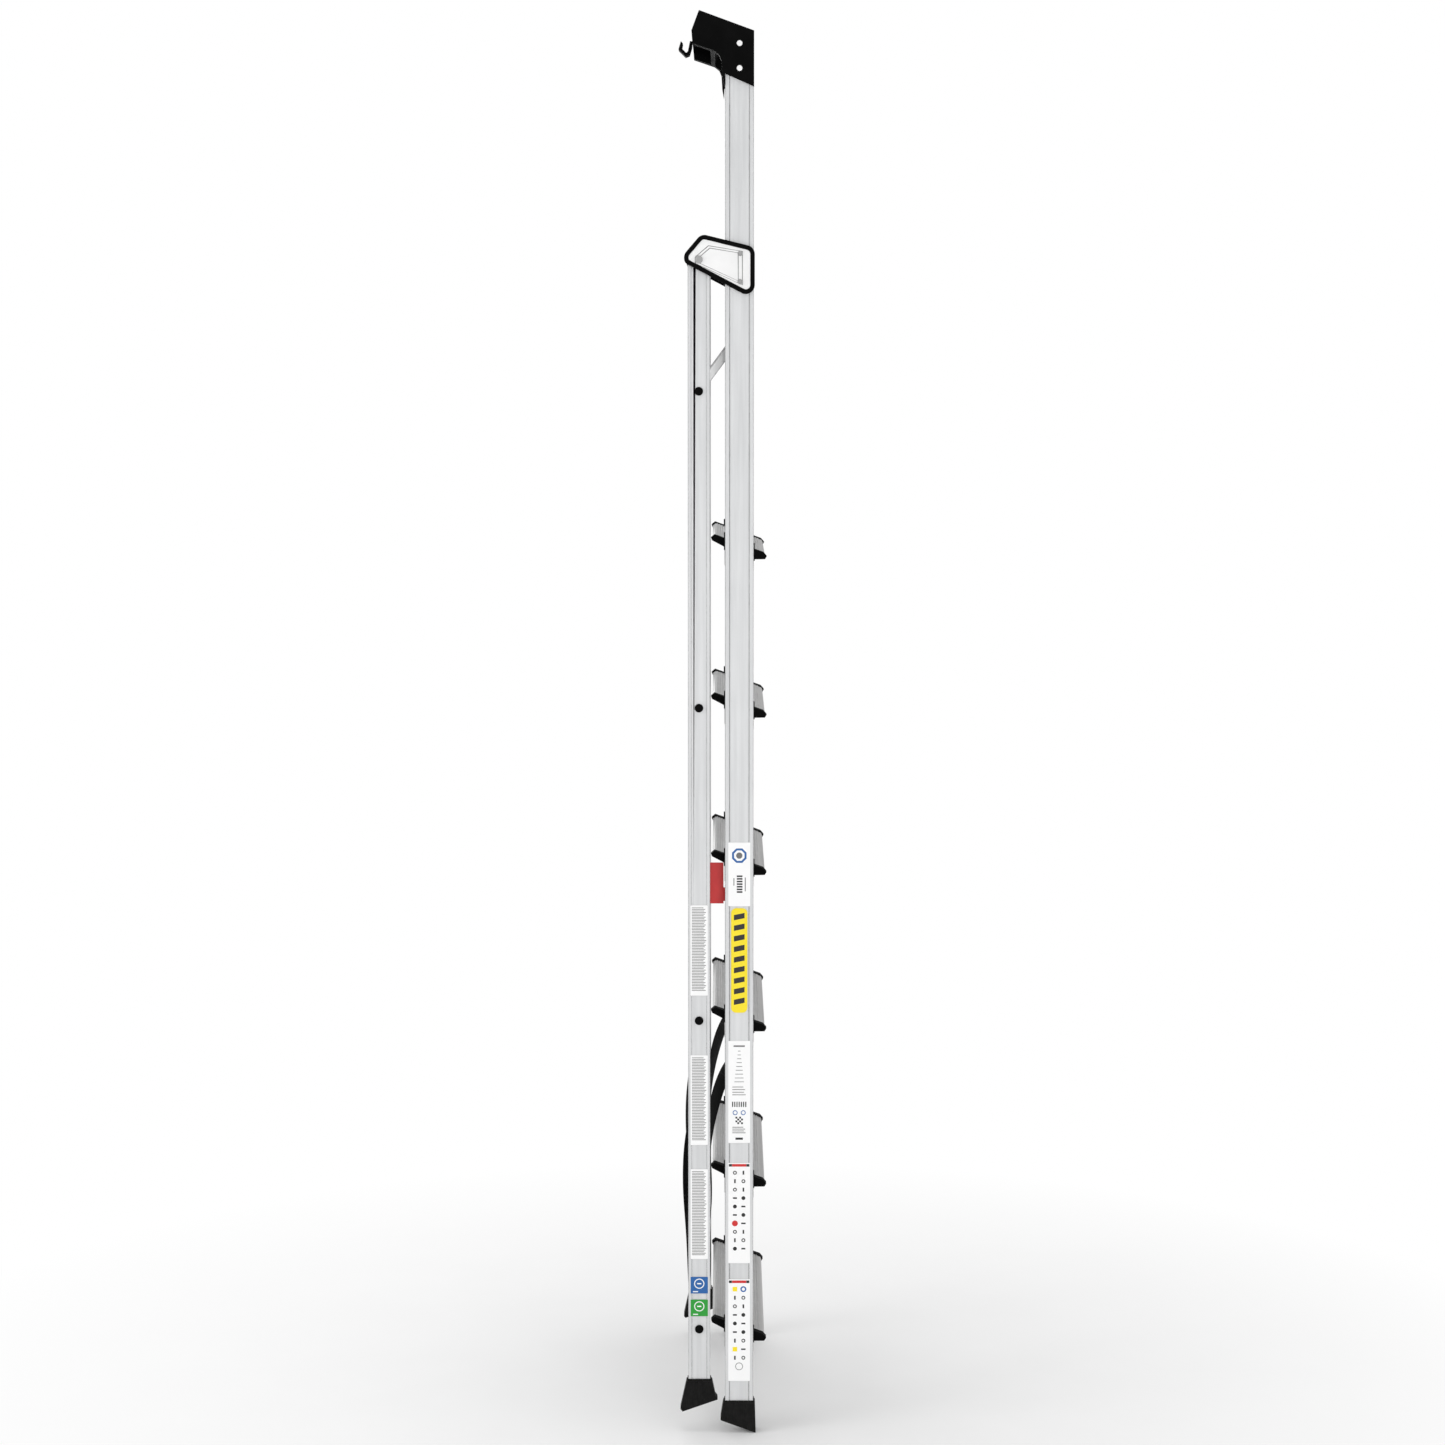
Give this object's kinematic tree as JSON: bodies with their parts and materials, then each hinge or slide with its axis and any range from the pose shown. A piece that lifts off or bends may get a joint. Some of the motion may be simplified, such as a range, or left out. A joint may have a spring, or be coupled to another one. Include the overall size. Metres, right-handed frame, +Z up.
{
  "type": "folding platform step ladder",
  "caption": "Folded platform step ladder with splayed stiles, treads, hinged support frame, folding platform, tool tray and bucket hook.",
  "frame": {"origin": "middle of the folded ladder's depth and width, at the lowest edge of the climbing frame's soles", "axes": "+Z up along the folded climbing stiles, -Y the climbing side, +Y the supporting frame's side, X along the treads"},
  "size_m": [0.5498, 0.1412, 2.2593],
  "materials": {
    "stile_aluminium": "extruded, natural satin",
    "tread_aluminium": "extruded, ribbed",
    "bracket_metal": "pressed",
    "cap_plastic": "moulded, fine texture",
    "black_plastic": "moulded, fine texture",
    "white_plastic": "moulded, smooth",
    "foot_rubber": "ribbed",
    "rivet_steel": "satin",
    "strap_webbing": "woven webbing",
    "card": "printed card"
  },
  "bodies": {
    "climbing_frame": {"bucket_hook": "black_plastic", "front_foot_left": "foot_rubber", "front_foot_right": "foot_rubber", "front_stile_left": "stile_aluminium", "front_stile_right": "stile_aluminium", "hinge_pin_left": "rivet_steel", "hinge_pin_right": "rivet_steel", "hinge_spacers": "white_plastic", "info_card": "card", "joint_plate_left": "white_plastic", "joint_plate_right": "white_plastic", "joint_rim_left": "black_plastic", "joint_rim_right": "black_plastic", "plate_rivets": "rivet_steel", "platform_pivots": "rivet_steel", "strap_anchors_front": "rivet_steel", "tool_tray": "black_plastic", "tray_rivets": "rivet_steel", "tread_1": "tread_aluminium", "tread_2": "tread_aluminium", "tread_3": "tread_aluminium", "tread_4": "tread_aluminium", "tread_5": "tread_aluminium", "tread_6": "tread_aluminium", "tread_brackets": "bracket_metal", "tread_cap_1_left": "cap_plastic", "tread_cap_1_right": "cap_plastic", "tread_cap_2_left": "cap_plastic", "tread_cap_2_right": "cap_plastic", "tread_cap_3_left": "cap_plastic", "tread_cap_3_right": "cap_plastic", "tread_cap_4_left": "cap_plastic", "tread_cap_4_right": "cap_plastic", "tread_cap_5_left": "cap_plastic", "tread_cap_5_right": "cap_plastic", "tread_cap_6_left": "cap_plastic", "tread_cap_6_right": "cap_plastic"},
    "supporting_frame": {"crossbar_plugs": "cap_plastic", "rear_crossbar_1": "stile_aluminium", "rear_crossbar_2": "stile_aluminium", "rear_crossbar_3": "stile_aluminium", "rear_crossbar_4": "stile_aluminium", "rear_foot_left": "foot_rubber", "rear_foot_right": "foot_rubber", "rear_stile_left": "stile_aluminium", "rear_stile_right": "stile_aluminium", "strap_anchors_rear": "rivet_steel"},
    "platform": {"platform_deck": "stile_aluminium", "platform_end_cap": "cap_plastic", "platform_nose": "cap_plastic", "platform_rail_left": "stile_aluminium", "platform_rail_right": "stile_aluminium", "platform_studs": "rivet_steel"},
    "link_right": {"platform_link_right": "stile_aluminium"},
    "link_left": {"platform_link_left": "stile_aluminium"},
    "strap_front_right": {"strap_front_leg_right": "strap_webbing"},
    "strap_front_left": {"strap_front_leg_left": "strap_webbing"},
    "strap_rear_right": {"strap_rear_leg_right": "strap_webbing"},
    "strap_rear_left": {"strap_rear_leg_left": "strap_webbing"}
  },
  "joints": [
    {"name": "rear_fold", "type": "hinge", "parent": "climbing_frame", "child": "supporting_frame", "pos_m": [0, 0.03712, 1.87295], "axis": [1, 0, 0], "range_deg": [0, 39.1]},
    {"name": "platform_fold", "type": "hinge", "parent": "climbing_frame", "child": "platform", "pos_m": [0, -0.02688, 1.66195], "axis": [-1, 0, 0], "range_deg": [0, 70]},
    {"name": "link_turn_right", "type": "hinge", "parent": "supporting_frame", "child": "link_right", "pos_m": [0, 0.03712, 1.66795], "axis": [1, 0, 0], "range_deg": [0, 25.31]},
    {"name": "link_turn_left", "type": "hinge", "parent": "supporting_frame", "child": "link_left", "pos_m": [0, 0.03712, 1.66795], "axis": [1, 0, 0], "range_deg": [0, 25.31]},
    {"name": "strap_front_turn_right", "type": "hinge", "parent": "climbing_frame", "child": "strap_front_right", "pos_m": [0, -0.01488, 0.602], "axis": [1, 0, 0], "range_deg": [0, 98.78]},
    {"name": "strap_bend_right", "type": "hinge", "parent": "strap_front_right", "child": "strap_rear_right", "pos_m": [0, 0.03812, 0.181], "axis": [-1, 0, 0], "range_deg": [0, 163.17]},
    {"name": "strap_front_turn_left", "type": "hinge", "parent": "climbing_frame", "child": "strap_front_left", "pos_m": [0, -0.01488, 0.602], "axis": [1, 0, 0], "range_deg": [0, 98.78]},
    {"name": "strap_bend_left", "type": "hinge", "parent": "strap_front_left", "child": "strap_rear_left", "pos_m": [0, 0.03812, 0.181], "axis": [-1, 0, 0], "range_deg": [0, 163.17]}
  ],
  "couplings": [
    {"joint": "platform_fold", "follows": "rear_fold", "ratio": 1.7903},
    {"joint": "link_turn_right", "follows": "rear_fold", "ratio": 0.64729},
    {"joint": "link_turn_left", "follows": "rear_fold", "ratio": 0.64729},
    {"joint": "strap_front_turn_right", "follows": "rear_fold", "ratio": 2.5263},
    {"joint": "strap_bend_right", "follows": "rear_fold", "ratio": 4.1731},
    {"joint": "strap_front_turn_left", "follows": "rear_fold", "ratio": 2.5263},
    {"joint": "strap_bend_left", "follows": "rear_fold", "ratio": 4.1731}
  ]
}
